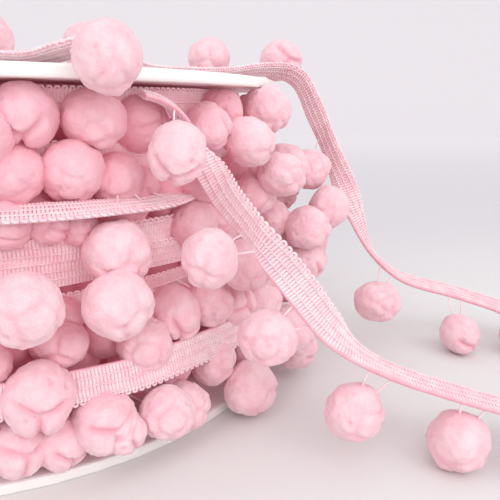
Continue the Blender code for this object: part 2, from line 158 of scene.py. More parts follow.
# The winding's laps of pompoms, each with the ones that show in front.
POMPOM_LAPS = (
    # height_mm, ((angle_deg, height_mm, out_mm, across_mm), ...)
    (67.4, (
        (20.6, 64.7, 70.5, 10.5), (26.6, 68.0, 67.5, 11.2), (36.6, 67.1, 67.5, 11.5),
        (45.7, 66.2, 65.5, 11.6), (58.5, 65.2, 70.0, 10.2), (73.2, 69.0, 76.0, 10.8),
        (66.0, 68.0, 68.0, 10.6), (86.0, 66.0, 70.5, 11.0),
    )),
    (58.6, (
        (24.4, 57.9, 67.5, 11.0), (32.7, 58.0, 68.0, 11.4), (40.2, 55.7, 67.0, 10.2),
        (44.2, 53.8, 66.0, 9.0), (56.2, 53.6, 70.0, 10.2), (64.5, 61.9, 76.0, 10.8),
        (75.0, 53.6, 68.4, 10.0), (71.0, 54.2, 80.5, 11.0), (84.0, 54.6, 79.0, 11.2),
    )),
    (49.4, (
        (22.8, 49.5, 70.0, 8.5), (28.2, 49.0, 69.5, 7.7), (32.7, 47.8, 68.5, 7.4),
        (53.4, 45.4, 71.0, 10.4), (60.6, 46.2, 69.0, 11.0), (71.5, 49.2, 74.0, 10.2),
        (90.2, 46.7, 77.0, 11.2), (80.0, 41.0, 75.0, 11.0),
    )),
    (40.2, (
        (23.7, 36.8, 79.5, 12.8), (37.0, 43.1, 74.2, 12.2), (59.0, 36.2, 80.0, 11.8),
        (79.6, 39.1, 85.2, 11.6), (82.6, 29.4, 85.0, 11.4), (69.4, 31.0, 76.0, 11.4),
        (92.0, 31.3, 80.0, 11.2),
    )),
    (31.0, (
        (30.0, 30.3, 67.0, 7.9), (35.1, 35.2, 79.4, 12.2), (48.2, 27.3, 71.4, 11.8),
        (56.0, 27.4, 72.6, 10.6), (62.4, 24.6, 73.4, 10.4), (67.6, 24.0, 77.4, 10.4),
        (87.0, 21.0, 80.0, 11.8),
    )),
    (21.8, (
        (17.4, 25.4, 72.0, 11.2), (28.9, 25.9, 70.0, 9.6), (24.7, 19.2, 76.0, 12.8),
        (41.3, 23.3, 73.0, 11.0), (55.6, 13.8, 73.6, 10.4), (66.0, 11.2, 74.5, 11.3),
        (71.4, 14.8, 83.0, 12.0), (82.0, 10.6, 80.0, 11.6),
    )),
    (10.6, (
        (15.4, 11.8, 73.0, 11.4), (21.5, 8.8, 73.4, 11.6), (27.2, 8.3, 73.4, 10.8),
        (33.0, 11.5, 76.4, 12.4), (35.0, 9.6, 78.5, 8.9), (42.0, 10.4, 79.0, 10.8),
        (46.4, 8.5, 76.4, 10.3), (59.2, 7.0, 80.6, 12.4), (75.0, 8.6, 84.0, 10.8),
        (47.6, 14.4, 69.0, 10.0),
    )),
)

# The front ones lie between these angles. The rest of each lap is left to chance.
FRONT_DEG = (12.0, 97.0)

# The loose run's route. A lean of 0 stands the braid on its tied edge, and 90 lays its looped edge
# over to the left of the way that the run goes. Between two rows the curve has RUN_PARTS parts.
RUN_PARTS = 16
RUN = (
    # x_mm, y_mm, z_mm, lean_deg
    (48.5, -51.8, 71.8, 80.0),
    (51.6, -50.2, 70.9, 78.0),
    (54.1, -48.3, 68.9, 72.0),
    (56.8, -45.1, 64.1, 66.0),
    (59.8, -44.4, 59.1, 62.0),
    (62.4, -46.8, 55.4, 46.0),
    (65.1, -50.7, 52.0, 24.0),
    (68.9, -55.6, 48.4, 8.0),
    (72.8, -59.8, 44.4, 4.0),
    (78.6, -60.0, 37.2, 8.0),
    (84.4, -59.2, 29.4, 24.0),
    (90.4, -58.2, 23.2, 68.0),
    (99.0, -57.4, 18.4, 82.0),
    (110.4, -57.4, 14.6, 84.0),
    (120.0, -57.8, 12.0, 82.0),
    (134.0, -57.0, 8.4, 56.0),
    (150.0, -52.0, 5.4, 14.0),
    (163.0, -42.0, 4.8, 6.0),
    (169.0, -27.0, 4.8, 0.0),
    (166.5, -12.0, 5.0, -16.0),
    (158.0, -0.5, 6.6, -44.0),
    (146.5, 5.6, 10.6, -66.0),
    (131.5, 4.6, 15.6, -68.0),
    (113.0, -1.0, 22.0, -72.0),
    (103.4, -4.4, 30.0, -72.0),
    (99.0, -4.6, 39.6, -56.0),
    (95.6, -3.2, 48.0, -26.0),
    (91.6, 0.6, 58.0, 6.0),
    (87.4, 4.4, 68.0, 4.0),
    (82.4, 7.0, 77.4, 30.0),
    (74.0, 7.6, 79.8, 60.0),
    (62.0, 4.6, 78.6, 68.0),
    (52.0, 0.4, 78.4, 70.0),
    (44.6, -8.0, 78.3, 72.0),
    (41.0, -19.0, 78.4, 70.0),
    (41.4, -31.0, 79.2, 58.0),
    (44.6, -42.0, 79.4, 56.0),
    (45.2, -50.4, 79.8, 52.0),
    (42.0, -55.6, 79.8, 58.0),
    (36.4, -54.4, 79.2, 74.0),
    (28.6, -47.8, 78.4, 78.0),
    (19.0, -42.4, 78.4, 68.0),
    (8.0, -40.6, 78.4, 68.0),
    (-4.0, -41.0, 78.4, 68.0),
)

# Each pompom of the loose run: where its ties leave the braid, its centre, and its size.
LOOSE_POMPOMS = (
    # along_mm, x_mm, y_mm, z_mm, across_mm
    (8.6, 56.2, -59.4, 61.6, 10.6),
    (40.6, 61.8, -60.2, 42.6, 10.6),
    (58.6, 72.6, -59.4, 26.8, 10.8),
    (77.6, 89.8, -59.6, 11.4, 11.6),
    (97.6, 110.4, -60.6, 5.9, 11.5),
    (116.6, 128.6, -66.4, 6.0, 11.6),
    (136.6, 152.0, -60.4, 6.1, 12.0),
    (156.6, 173.4, -45.0, 6.0, 11.6),
    (175.6, 179.0, -24.0, 6.1, 12.0),
    (194.6, 156.6, -13.6, 6.1, 11.8),
    (211.6, 147.6, -6.0, 6.1, 12.0),
    (230.6, 130.2, -4.6, 5.8, 11.4),
    (256.6, 104.8, -8.4, 17.0, 12.0),
    (277.6, 90.1, -9.9, 43.8, 11.0),
    (295.6, 84.9, -6.1, 53.4, 10.8),
    (324.6, 77.6, 15.2, 82.6, 12.0),
    (341.6, 57.0, 12.0, 82.6, 12.0),
    (361.6, 33.0, -4.0, 82.4, 11.6),
    (374.6, 30.6, -19.6, 82.4, 11.8),
    (408.4, 46.2, -66.2, 77.0, 11.2),
    (438.4, 12.0, -32.0, 82.9, 12.2),
    (456.4, -6.0, -31.6, 82.4, 11.6),
)

# Colours, all linear: the pompoms' pale and blush, the rose of painted shade on pompoms and braid, the
# braid's, the reel's and the stage's.
PETAL = (0.91, 0.655, 0.70, 1.0)
BLUSH = (0.88, 0.505, 0.57, 1.0)
SHADE_ROSE = (0.80, 0.27, 0.36, 1.0)
# The colour of the pompoms' painted glow.
PAINTED_GLOW = (0.80, 0.20, 0.29, 1.0)
BRAID_PALE = (0.97, 0.80, 0.83, 1.0)
BRAID_BLUSH = (0.92, 0.60, 0.66, 1.0)
WHITE = (0.95, 0.935, 0.915, 1.0)
WARM_WHITE = (0.93, 0.91, 0.89, 1.0)
FLOOR = (0.77, 0.775, 0.77, 1.0)
# The far floor's grey is painted shade, and the rising wall's paleness is painted light.
SHADED_FAR_FLOOR = (0.69, 0.685, 0.71, 1.0)
LIT_BACKDROP = (0.89, 0.88, 0.905, 1.0)
SKY = (1.0, 0.96, 0.975, 1.0)

# The stage, in metres.
FLOOR_REACH = 3.0
WALL_HEIGHT = 4.0
PAPER_BEND = 1.5
SKY_STRENGTH = 0.96


# ---------------------------------------------------------------- camera and run


def place_camera():
    data = bpy.data.cameras.new("Camera")
    data.sensor_fit = "HORIZONTAL"
    data.sensor_width = SENSOR_MM
    data.lens = LENS_MM
    data.clip_start = 0.005
    camera = bpy.data.objects.new("Camera", data)
    level = Matrix.Rotation(math.pi / 2 - CAMERA_PITCH, 4, "X")
    turn = Matrix.Rotation(CAMERA_ROLL, 4, "Z")
    camera.matrix_world = Matrix.Translation(CAMERA_PLACE) @ level @ turn
    bpy.context.scene.collection.objects.link(camera)
    bpy.context.scene.camera = camera


def eased(value, low, high):
    """0 up to low, 1 from high on, and smooth between."""
    t = min(max((value - low) / (high - low), 0.0), 1.0)
    return t * t * (3 - 2 * t)


def curve_point(rows, place):
    """A point of the smooth curve through rows of numbers: place 2.5 is midway from row 2 to row 3."""
    index = min(int(place), len(rows) - 2)
    t = place - index
    before, after = max(index - 1, 0), min(index + 2, len(rows) - 1)
    weights = (
        (before, -0.5 * t + t * t - 0.5 * t**3),
        (index, 1.0 - 2.5 * t * t + 1.5 * t**3),
        (index + 1, 0.5 * t + 2.0 * t * t - 1.5 * t**3),
        (after, -0.5 * t * t + 0.5 * t**3),
    )
    return [sum(weight * rows[row][k] for row, weight in weights) for k in range(len(rows[0]))]


def read_points(mesh):
    """A mesh's points as rows of x, y and z."""
    flat = np.empty(len(mesh.vertices) * 3)
    mesh.vertices.foreach_get("co", flat)
    return flat.reshape(-1, 3)


def write_points(mesh, points):
    mesh.vertices.foreach_set("co", points.ravel())
    mesh.update()


class Run:
    """A braid's middle line, with the way it goes, the side of its looped edge, and its face."""

    # The way at a point is taken from this many points before it to as many after.
    NEARBY = 3

    def __init__(self, points, leans):
        self.points = np.array(points)
        steps = np.linalg.norm(np.diff(self.points, axis=0), axis=1)
        self.along = np.concatenate([[0.0], np.cumsum(steps)])
        self.length = float(self.along[-1])
        count = len(self.points)
        before = np.maximum(np.arange(count) - self.NEARBY, 0)
        after = np.minimum(np.arange(count) + self.NEARBY, count - 1)
        way = self.points[after] - self.points[before]
        way /= np.linalg.norm(way, axis=1)[:, None]
        up = np.array([0.0, 0.0, 1.0]) - way * way[:, 2:]
        up /= np.linalg.norm(up, axis=1)[:, None]
        left = np.cross(up, way)
        leans = np.array(leans)[:, None]
        self.looped = up * np.cos(leans) + left * np.sin(leans)
        self.face = np.cross(self.looped, way)

    def read(self, values, along):
        return np.stack([np.interp(along, self.along, values[:, k]) for k in range(3)], axis=-1)

    def bend(self, mesh, start):
        """Lays a straight mesh on the run: its X goes along it, Y to the looped edge, Z to the face."""
        flat = read_points(mesh)
        along = flat[:, 0] + start
        bent = self.read(self.points, along)
        bent += self.read(self.looped, along) * flat[:, 1:2]
        bent += self.read(self.face, along) * flat[:, 2:3]
        write_points(mesh, bent)

    def place(self, along, across=0.0):
        return Vector(self.read(self.points, along) + self.read(self.looped, along) * across)


def loose_run():
    """The smooth curve through the rows of RUN."""
    count = (len(RUN) - 1) * RUN_PARTS
    rows = [curve_point(RUN, step / RUN_PARTS) for step in range(count + 1)]
    return Run([(x * MM, y * MM, z * MM) for x, y, z, _ in rows], [math.radians(row[3]) for row in rows])


def lap_out(lap, angle):
    """A lap's distance from the axis, in mm: an outer lap sinks in past its angle, and before 0."""
    turned = (math.degrees(angle) + 60) % 360 - 60
    past = eased(turned, lap.sinks_from, lap.sinks_from + SINKS_OVER_DEG)
    before = eased(-turned, *BEFORE_FRONT_DEG)
    return lap.out - min(past + before, 1.0) * max(lap.out - SUNK_OUT, 0.0)


def wound_run(lap, first, last):
    """One lap of braid in the winding, from one angle to another. Each wanders in its own way."""
    points, leans = [], []
    count = max(int((last - first) / math.radians(1.5)), 4)
    for step in range(count + 1):
        angle = first + (last - first) * step / count
        spot = Vector((math.cos(angle) * 2.2, math.sin(angle) * 2.2, lap.height * 0.31))
        sway = noise.noise(spot)
        stray = noise.noise(spot * 2.0 + Vector((7, 3, 1)))
        out = (lap_out(lap, angle) + 0.8 * stray) * MM
        rise = (lap.height + lap.climb * math.sin(angle) + 0.6 * sway) * MM
        points.append((out * math.sin(angle), -out * math.cos(angle), rise))
        leans.append(-math.radians(lap.lean + 14 * sway))
    return Run(points, leans)


# ---------------------------------------------------------------- mesh helpers


def new_object(name, mesh, material):
    piece = bpy.data.objects.new(name, mesh)
    bpy.context.scene.collection.objects.link(piece)
    mesh.materials.clear()
    mesh.materials.append(material)
    return piece


def mesh_from(name, shape):
    """The bmesh as a mesh with smooth faces. The bmesh goes."""
    for face in shape.faces:
        face.smooth = True
    mesh = bpy.data.meshes.new(name)
    shape.to_mesh(mesh)
    shape.free()
    return mesh


def new_vertices(extruded):
    """The vertices that an extrusion has made."""
    return [item for item in extruded["geom"] if isinstance(item, bmesh.types.BMVert)]


def finished(name, shape, material):
    """The bmesh as a new piece."""
    return new_object(name, mesh_from(name, shape), material)


def wear(piece, slot, *nodes):
    """Fixes a piece to the part, and hides the imported nodes that it stands in for. Its slot is not
    used.
    """
    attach(piece, "root")
    if nodes:
        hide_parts(*nodes)
    return piece


def made_real(name, holder):
    """An object with its modifiers or bevel as a plain mesh. The object itself goes."""
    bpy.context.scene.collection.objects.link(holder)
    graph = bpy.context.evaluated_depsgraph_get()
    mesh = bpy.data.meshes.new_from_object(holder.evaluated_get(graph))
    mesh.name = name
    bpy.data.objects.remove(holder)
    return mesh


def yarn_mesh(lines, radius, rounding):
    """Yarns as one mesh, each along its own line. Rounding 0 gives them four sides, and 1 six."""
    curve = bpy.data.curves.new("Yarn", "CURVE")
    curve.dimensions = "3D"
    curve.bevel_depth = radius
    curve.bevel_resolution = rounding
    curve.use_fill_caps = True
    for line in lines:
        spline = curve.splines.new("POLY")
        spline.points.add(len(line) - 1)
        for point, place in zip(spline.points, line):
            point.co = (*place, 1.0)
    return made_real("Yarn", bpy.data.objects.new("Yarn", curve))


def gathered(meshes):
    """Several meshes in one bmesh. The meshes go."""
    shape = bmesh.new()
    for mesh in meshes:
        shape.from_mesh(mesh)
        bpy.data.meshes.remove(mesh)
    return shape


# ---------------------------------------------------------------- braid


def rib_lines(steps):
    """Two ribs a stitch, across the braid from its tied edge to the foot of its loops."""
    lines = []
    for share in (0.25, 0.75):
        line = []
        for step in range(steps + 1):
            t = step / steps
            sway = RIB_SWAY * math.sin(math.tau * t)
            line.append((share * STITCH + sway, TIED_EDGE + (RIB_END - TIED_EDGE) * t, 0.0))
        lines.append(line)
    return lines


def loop_line(steps):
    """The small tight loop that each stitch has on the braid's free edge."""
    line = []
    for step in range(steps + 1):
        turn = math.pi * step / steps
        line.append((
            STITCH * (0.5 - 0.34 * math.cos(turn)),
            RIB_END - 0.15 * MM + LOOP_REACH * math.sin(turn) ** 0.7,
            0.10 * MM * math.cos(turn),
        ))
    return line


def chain_lines(rows, steps, sway):
    """The chain yarns that run along both faces of the braid, over its ribs."""
    lines = []
    for number, row in enumerate(rows):
        for side in (-1, 1):
            line = []
            for step in range(steps + 1):
                t = step / steps
                line.append((
                    STITCH * t,
                    row + sway * math.sin(math.tau * (t + 0.25 * number)),
                    side * (BRAID_FACE + 0.06 * MM * math.cos(2 * math.tau * t)),
                ))
            lines.append(line)
    return lines


def fine_yarns():
    """The yarns of one stitch: two ribs, a loop, three chains on each face, and the edge's cord."""
    return [
        yarn_mesh(rib_lines(3), RIB_RADIUS, 1),
        yarn_mesh([loop_line(6)], LOOP_RADIUS, 1),
        yarn_mesh(chain_lines(CHAIN_ROWS, 4, CHAIN_SWAY), CHAIN_RADIUS, 0),
        yarn_mesh([[(0, TIED_EDGE, 0), (STITCH, TIED_EDGE, 0)]], EDGE_CORD_RADIUS, 1),
    ]


def plain_yarns():
    """The same stitch for laps that hardly show, with one straight chain and no cord."""
    return [
        yarn_mesh(rib_lines(1), RIB_RADIUS, 0),
        yarn_mesh([loop_line(3)], LOOP_RADIUS, 0),
        yarn_mesh(chain_lines((PLAIN_CHAIN_ROW,), 1, 0.0), PLAIN_CHAIN_RADIUS, 0),
    ]


def stitch_mesh(yarns):
    """One stitch of straight braid, marked with how far each point lies down between the yarns, the mask
    of painted shade there.
    """
    ribs = yarns[0]
    for vertex in ribs.vertices:
        vertex.co.z *= RIB_FLATNESS
    shape = gathered(yarns)
    hollow = shape.verts.layers.float.new("hollow")
    for vertex in shape.verts:
        vertex[hollow] = 1.0 - eased(abs(vertex.co.z), 0.25 * BRAID_FACE, 0.95 * BRAID_FACE)
        if vertex.co.y > RIB_END:
            vertex[hollow] = 0.0
    bmesh.ops.triangulate(shape, faces=shape.faces)
    return mesh_from("Stitch", shape)


def braid_mesh(stitch, run):
    """A whole number of stitches in a row, laid along the run."""
    count = max(int(run.length / STITCH), 1)
    piece = bpy.data.objects.new("Stitches", stitch)
    row = piece.modifiers.new("Row", "ARRAY")
    row.count = count
    row.use_relative_offset = False
    row.use_constant_offset = True
    row.constant_offset_displace = (STITCH, 0.0, 0.0)
    mesh = made_real("Braid", piece)
    run.bend(mesh, (run.length - count * STITCH) / 2)
    return mesh


# ---------------------------------------------------------------- pompoms


def on_winding(angle_deg, out, height):
    """A place round the reel's axis. Its angle is 0 in front, and grows to the right."""
    angle = math.radians(angle_deg)
    return Vector((out * math.sin(angle), -out * math.cos(angle), height))


def front_pompoms():
    """(centre, across) of the winding's pompoms that face front."""
    return [
        (on_winding(angle, out * MM, rise * MM), across * MM)
        for _, front in POMPOM_LAPS
        for angle, rise, out, across in front
    ]


def other_pompoms(dice):
    """(centre, across) of the rest of each lap."""
    placed = []
    for lap, (height, _) in enumerate(POMPOM_LAPS):
        first, last = FRONT_DEG[1], FRONT_DEG[0] + 360.0
        count = round((last - first) / POMPOM_STEP_DEG)
        for place in range(count):
            angle = first + (last - first) * (place + 0.5 + 0.5 * (lap % 2)) / (count + 0.5)
            angle += dice.uniform(-POMPOM_SWAY_DEG, POMPOM_SWAY_DEG)
            out = dice.uniform(*LAP_OUT)
            rise = height + dice.uniform(-LAP_RISE, LAP_RISE)
            across = dice.uniform(*POMPOM_ACROSS)
            placed.append((on_winding(angle, out * MM, rise * MM), across * MM))
    return placed


def widest_pompoms():
    """Four pompoms that hang out furthest, so that the winding reaches as far on every side."""
    out = WIDEST - WIDEST_ACROSS / 2
    return [(on_winding(angle, out, height * MM), WIDEST_ACROSS) for angle, height in WIDEST_PLACES]


def inner_pompoms(dice):
    """(centre, across) of the pompoms below, which fill the gaps of the outer ones."""
    placed = []
    for row in range(INNER_LAPS):
        height = INNER_LAP_STEP * (row + 1)
        for place in range(INNER_IN_A_LAP):
            angle = 360.0 * (place + 0.5 * (row % 2)) / INNER_IN_A_LAP
            angle += dice.uniform(-INNER_SWAY_DEG, INNER_SWAY_DEG)
            rise = height + dice.uniform(-INNER_RISE, INNER_RISE)
            covering = [lap.out for lap in BRAID_LAPS if abs(lap.height - rise) < BESIDE_BRAID]
            out = min([dice.uniform(*INNER_OUT)] + [cover - BEHIND_BRAID for cover in covering])
            across = dice.uniform(*INNER_ACROSS)
            placed.append((on_winding(angle, out * MM, rise * MM), across * MM))
    return placed


def a_direction(dice):
    """Any direction, all as likely."""
    return Vector((dice.gauss(0, 1), dice.gauss(0, 1), dice.gauss(0, 1))).normalized()


def around_top(tilt_deg, turn_deg):
    """The direction that tilts away from +Z, and turns round it."""
    tilt, turn = math.radians(tilt_deg), math.radians(turn_deg)
    return Vector((math.sin(tilt) * math.cos(turn), math.sin(tilt) * math.sin(turn), math.cos(tilt)))


def lobe_seeds(dice):
    """The middles of three broad lobes that meet in a crease, not quite at the top."""
    first = dice.uniform(0, 360)
    return [
        around_top(dice.uniform(34, 62), first + 120 * place + dice.uniform(-22, 22))
        for place in range(3)
    ]


def tuft_seeds(dice):
    """The middles of a ring of small tufts and of one inside it."""
    first, count = dice.uniform(0, 360), dice.choice((3, 4, 5))
    ring = [
        around_top(dice.uniform(24, 62), first + 360 * place / count + dice.uniform(-30, 30))
        for place in range(count)
    ]
    return ring + [around_top(dice.uniform(0, 12), dice.uniform(0, 360))]


def unevenness(way, where):
    """The unevenness of cut yarn, from the whole ball's lean down to its small tufts."""
    return (
        0.085 * noise.noise(way * 1.2 + where)
        + 0.050 * noise.noise(way * 2.9 + where)
        + 0.026 * noise.noise(way * 7.0 + where)
        + 0.014 * noise.noise(way * 15.0 + where)
    )


def pompom_mould(dice, detail, share):
    """A soft ball of cut yarn, 2 across. Round +Z it parts into lobes or tufts, with a few dimples."""
    lobed = dice.random() < LOBED_SHARE
    seeds = lobe_seeds(dice) if lobed else tuft_seeds(dice)
    creases = LOBE_CREASES if lobed else TUFT_CREASES
    depth = dice.uniform(*creases.depth)
    spread = dice.uniform(*creases.spread)
    dimples = [
        (around_top(dice.uniform(10, 170), dice.uniform(0, 360)), dice.uniform(*DIMPLE_DEPTH))
        for _ in range(dice.choice((4, 5, 6, 7)))
    ]
    where = a_direction(dice) * 20
    stretch = [dice.uniform(*STRETCH) for _ in range(3)]
    shape = bmesh.new()
    bmesh.ops.create_icosphere(shape, subdivisions=detail, radius=1.0)
    hollow = shape.verts.layers.float.new("hollow")
    total = 0.0
    for vertex in shape.verts:
        way = vertex.co.normalized()
        near, far = sorted((way - seed).length for seed in seeds)[:2]
        top = 1.0 - eased(way.angle(Vector((0, 0, 1))), spread, spread + 0.55)
        low = top * depth * math.exp(-((far - near) / creases.width) ** 2)
        for toward, dent in dimples:
            low += dent * math.exp(-(way - toward).length_squared / DIMPLE_WIDTH**2)
        # How deep the point lies in a crease or dimple, the mask of painted shade.
        vertex[hollow] = min(low / HOLLOW_DEPTH, 1.0)
        swell = SWELL * top * max(1.0 - (near / SWELL_WIDTH) ** 2, 0.0)
        reach = 1.0 + swell - low + unevenness(way, where)
        total += reach
        vertex.co = way * reach
    mean = total / len(shape.verts)
    size = Matrix.Diagonal([value / mean for value in stretch] + [1.0])
    bmesh.ops.transform(shape, matrix=size, verts=shape.verts)
    piece = bpy.data.objects.new("Mould", mesh_from("Mould", shape))
    thinned = piece.modifiers.new("Fewer faces", "DECIMATE")
    thinned.ratio = share
    return made_real("Mould", piece)


def press(mesh):
    """Flattens what would sink into the floor or into the reel's two discs."""
    points = read_points(mesh)
    inside = np.hypot(points[:, 0], points[:, 1]) < REEL_RADIUS + GAP
    between = inside & (points[:, 2] < WINDING_HEIGHTS[1] + 3 * MM)
    points[between, 2] = np.clip(points[between, 2], *WINDING_HEIGHTS)
    points[:, 2] = np.maximum(points[:, 2], ABOVE_FLOOR)
    write_points(mesh, points)


def build_pompoms(name, places, moulds, dice, material, loose=False):
    """Pompoms of different moulds, which mostly part towards the outside and a little down."""
    shape = bmesh.new()
    for centre, across in places:
        mould = dice.choice(moulds)
        out = FORWARD if loose else Vector((centre.x, centre.y, 0.0)).normalized()
        facing = (out + DROOP + a_direction(dice) * STRAY).normalized()
        spin = Matrix.Rotation(dice.uniform(0, math.tau), 4, "Z")
        turn = facing.to_track_quat("Z", "Y").to_matrix().to_4x4() @ spin
        place = Matrix.Translation(centre) @ turn @ Matrix.Scale(across / 2, 4)
        start = len(shape.verts)
        shape.from_mesh(mould)
        shape.verts.ensure_lookup_table()
        bmesh.ops.transform(shape, matrix=place, verts=shape.verts[start:])
    piece = finished(name, shape, material)
    press(piece.data)
    return piece


# ---------------------------------------------------------------- materials
# Noise scales are in waves a metre, so 1000 gives waves of a millimetre.


def new_material(name):
    """A material with its node tree and its shader."""
    material = bpy.data.materials.new(name)
    material.use_nodes = True
    tree = material.node_tree
    return material, tree, tree.nodes["Principled BSDF"]


def node(tree, kind, **values):
    made = tree.nodes.new(kind)
    for key, value in values.items():
        setattr(made, key, value)
    return made


def object_place(tree):
    return node(tree, "ShaderNodeTexCoord").outputs["Object"]


def hollows(tree):
    """How far a point lies down in a crease or between yarns, as its mesh says. It masks painted shade
    there.
    """
    return node(tree, "ShaderNodeAttribute", attribute_name="hollow").outputs["Fac"]


def two_tones(tree, factor, low, high, first, last):
    """A ramp from one colour to another, as the factor goes from low to high."""
    ramp = node(tree, "ShaderNodeValToRGB")
    ramp.color_ramp.elements[0].position = low
    ramp.color_ramp.elements[0].color = first
    ramp.color_ramp.elements[1].position = high
    ramp.color_ramp.elements[1].color = last
    tree.links.new(factor, ramp.inputs["Fac"])
    return ramp.outputs["Color"]


def noise_node(tree, place, scale, detail=3.0):
    made = node(tree, "ShaderNodeTexNoise")
    made.inputs["Scale"].default_value = scale
    made.inputs["Detail"].default_value = detail
    tree.links.new(place, made.inputs["Vector"])
    return made.outputs["Fac"]


def tinted(tree, factor, color, tint):
    """A colour that turns into a tint as the factor goes to 1."""
    made = node(tree, "ShaderNodeMix", data_type="RGBA")
    tree.links.new(factor, made.inputs["Factor"])
    tree.links.new(color, made.inputs["A"])
    made.inputs["B"].default_value = tint
    return made.outputs["Result"]


def ranged(tree, value, from_low, from_high, to_low=0.0, to_high=1.0):
    """A value eased from one range to another."""
    made = node(tree, "ShaderNodeMapRange", interpolation_type="SMOOTHSTEP")
    made.inputs["From Min"].default_value = from_low
    made.inputs["From Max"].default_value = from_high
    made.inputs["To Min"].default_value = to_low
    made.inputs["To Max"].default_value = to_high
    tree.links.new(value, made.inputs["Value"])
    return made.outputs["Result"]


def bump(tree, height, strength, distance, under=None):
    """Relief from a height, over another relief where there is one."""
    made = node(tree, "ShaderNodeBump")
    made.inputs["Strength"].default_value = strength
    made.inputs["Distance"].default_value = distance
    tree.links.new(height, made.inputs["Height"])
    if under:
        tree.links.new(under, made.inputs["Normal"])
    return made.outputs["Normal"]


def worked_out(tree, operation, *values):
    """The result of a sum on numbers and sockets."""
    made = node(tree, "ShaderNodeMath", operation=operation)
    for socket, value in zip(made.inputs, values):
        if isinstance(value, (int, float)):
            socket.default_value = value
        else:
            tree.links.new(value, socket)
    return made.outputs[0]


def depth_in_winding(tree, place, deep_at, out_at):
    """1 deep inside the winding, 0 where the trim is at its outside or lies on the reel. It masks
    painted shade and painted glow.
    """
    split = node(tree, "ShaderNodeSeparateXYZ")
    tree.links.new(place, split.inputs[0])
    under = worked_out(tree, "LESS_THAN", split.outputs["Z"], WINDING_HEIGHTS[1] + 0.5 * MM)
    x_squared = worked_out(tree, "POWER", split.outputs["X"], 2.0)
    y_squared = worked_out(tree, "POWER", split.outputs["Y"], 2.0)
    out = worked_out(tree, "SQRT", worked_out(tree, "ADD", x_squared, y_squared))
    return worked_out(tree, "MULTIPLY", ranged(tree, out, deep_at, out_at, 1.0, 0.0), under)


def dress_yarn(shader, roughness, sheen):
    """The soft, matt edge of cut or spun yarn."""
    shader.inputs["Roughness"].default_value = roughness
    shader.inputs["Sheen Weight"].default_value = sheen
    shader.inputs["Sheen Roughness"].default_value = 0.5
    shader.inputs["Sheen Tint"].default_value = (1.0, 0.88, 0.9, 1.0)
    shader.inputs["Specular IOR Level"].default_value = 0.15


def painted_glow_within(tree, shader, depth, color, most):
    """A painted glow: emission deep in the winding, standing in for the light that passes from yarn to
    yarn.
    """
    glow = worked_out(tree, "MULTIPLY", depth, most)
    tree.links.new(glow, shader.inputs["Emission Strength"])
    shader.inputs["Emission Color"].default_value = color


def pompom_material():
    """Cut yarn, pale and blush in patches, with painted shade that makes it rosier in the partings and
    dimples and deep in the winding.
    """
    material, tree, shader = new_material("Pompom_yarn")
    dress_yarn(shader, 0.95, 0.4)
    place = object_place(tree)
    clouds = noise_node(tree, place, 150.0)
    blotches = noise_node(tree, place, 420.0)
    tufts = noise_node(tree, place, 750.0, 2.0)
    fibres = noise_node(tree, place, 2200.0, 4.0)
    grain = worked_out(
        tree, "MULTIPLY_ADD", fibres, 0.35, worked_out(tree, "MULTIPLY", clouds, 0.6)
    )
    grain = worked_out(tree, "MULTIPLY_ADD", blotches, 0.6, grain)
    yarn = two_tones(tree, grain, 0.56, 0.92, BLUSH, PETAL)
    # Painted shade: rosier the further in the winding a point lies.
    depth = depth_in_winding(tree, place, 62 * MM, 80 * MM)
    # Painted shade in the partings and dimples.
    crease_shade = worked_out(tree, "MULTIPLY", hollows(tree), 0.42)
    shade = worked_out(tree, "MAXIMUM", crease_shade, worked_out(tree, "MULTIPLY", depth, 0.8))
    tree.links.new(tinted(tree, shade, yarn, SHADE_ROSE), shader.inputs["Base Color"])
    # A painted glow deep in the winding, where there is no lamp.
    painted_glow_within(tree, shader, depth, PAINTED_GLOW, 0.06)
    pile = bump(tree, tufts, 0.5, 0.45 * MM)
    tree.links.new(bump(tree, fibres, 0.45, 0.25 * MM, pile), shader.inputs["Normal"])
    return material


def braid_material():
    """Spun yarn: fine twisted strands, with painted shade that makes it rosier between the yarns and
    deep in the winding.
    """
    material, tree, shader = new_material("Braid_yarn")
    dress_yarn(shader, 0.75, 0.25)
    place = object_place(tree)
    clouds = noise_node(tree, place, 400.0)
    strands = noise_node(tree, place, 3200.0, 2.0)
    grain = worked_out(tree, "MULTIPLY_ADD", strands, 0.5, clouds)
    yarn = two_tones(tree, grain, 0.5, 0.95, BRAID_BLUSH, BRAID_PALE)
    # Painted shade and painted glow follow how deep the yarn lies in the winding.
    depth = depth_in_winding(tree, place, 62 * MM, 76 * MM)
    inside = worked_out(tree, "MULTIPLY", depth, 0.3)
    # Painted shade in the grooves between the yarns.
    groove_shade = worked_out(tree, "MULTIPLY", hollows(tree), 0.75)
    shade = worked_out(tree, "MAXIMUM", inside, groove_shade)
    tree.links.new(tinted(tree, shade, yarn, SHADE_ROSE), shader.inputs["Base Color"])
    # A painted glow in the braid's blush colour, deep in the winding.
    painted_glow_within(tree, shader, depth, BRAID_BLUSH, 0.16)
    tree.links.new(bump(tree, strands, 0.4, 0.15 * MM), shader.inputs["Normal"])
    return material


